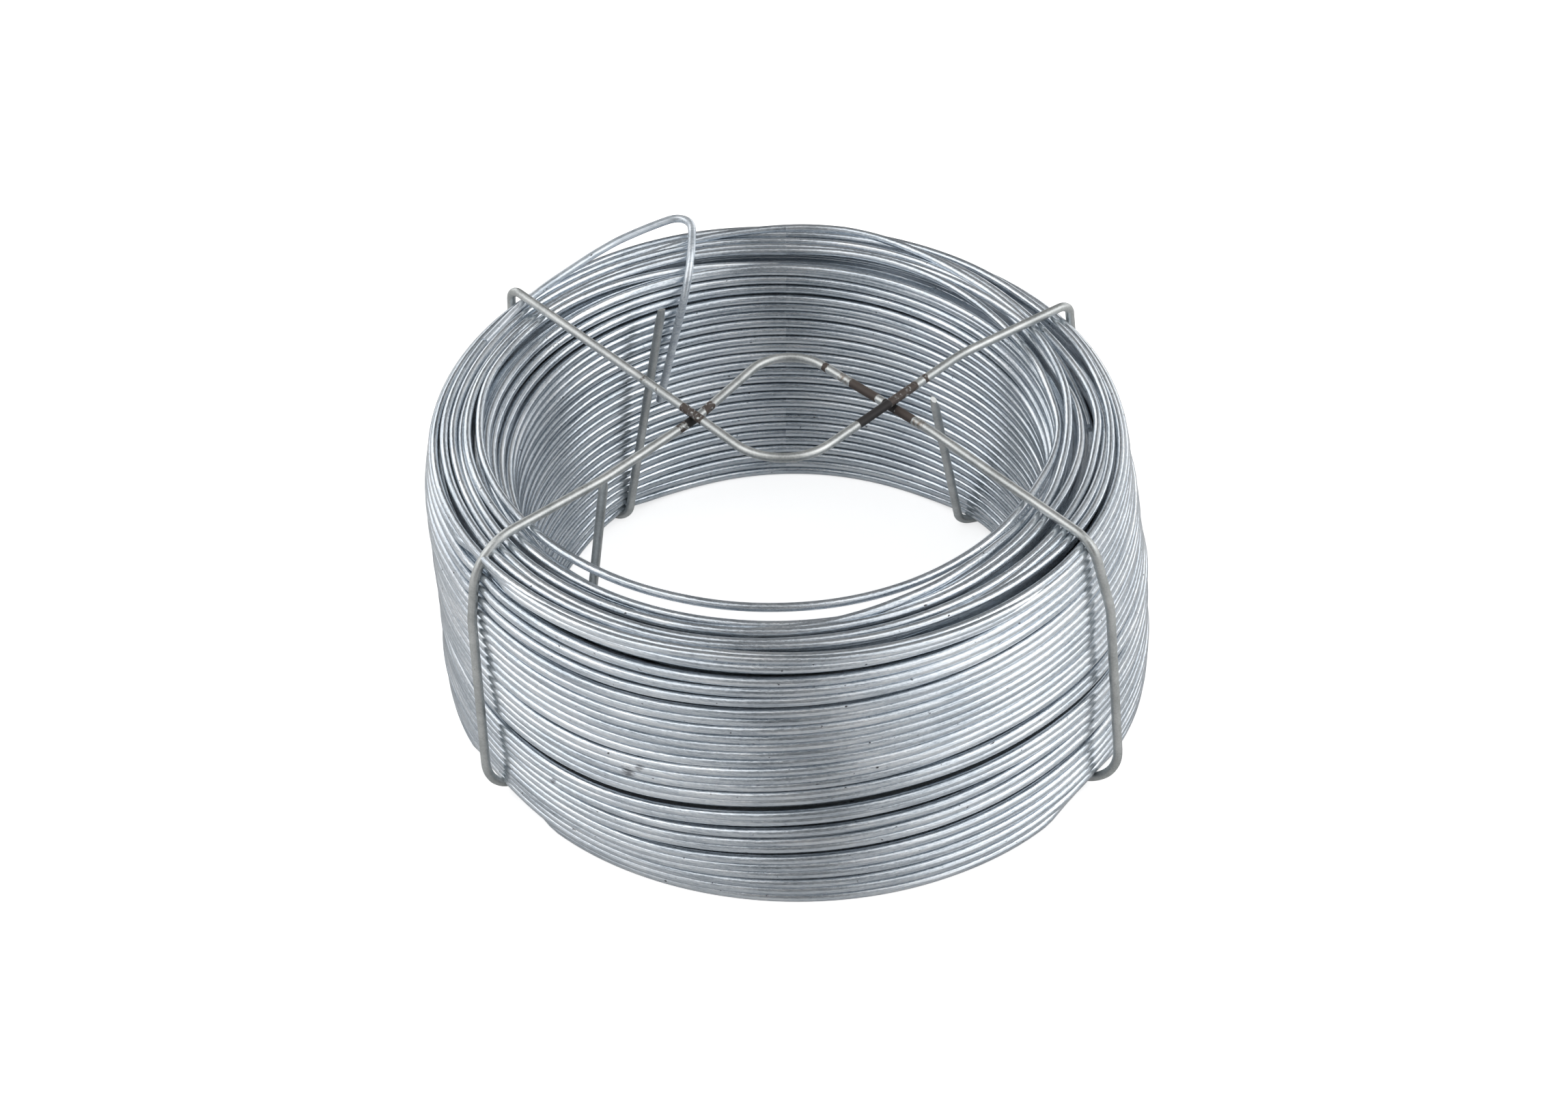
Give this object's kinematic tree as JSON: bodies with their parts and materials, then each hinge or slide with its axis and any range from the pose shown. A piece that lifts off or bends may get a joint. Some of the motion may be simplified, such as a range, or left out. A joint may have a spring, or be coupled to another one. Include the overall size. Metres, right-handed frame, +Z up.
{
  "type": "wire coil",
  "caption": "Free-wound ring of galvanized wire with an open bore, held by a cage of two bent, spot-welded wires hooked over its top, round its outside and up inside its bore.",
  "frame": {"origin": "on the floor, under the middle of the ring", "axes": "+Z up along the ring's axis, -Y towards the front, where the loose innermost turn is, +X to the right"},
  "size_m": [0.1008, 0.1008, 0.0453],
  "materials": {
    "coil_zinc": "bright drawn wire with a mottled zinc coat",
    "cage_zinc": "zinc-coated wire, burnt dark at its welds"
  },
  "bodies": {
    "root": {"wire_coil": "coil_zinc", "cage_wire_front": "cage_zinc", "cage_wire_back": "cage_zinc"}
  },
  "joints": []
}
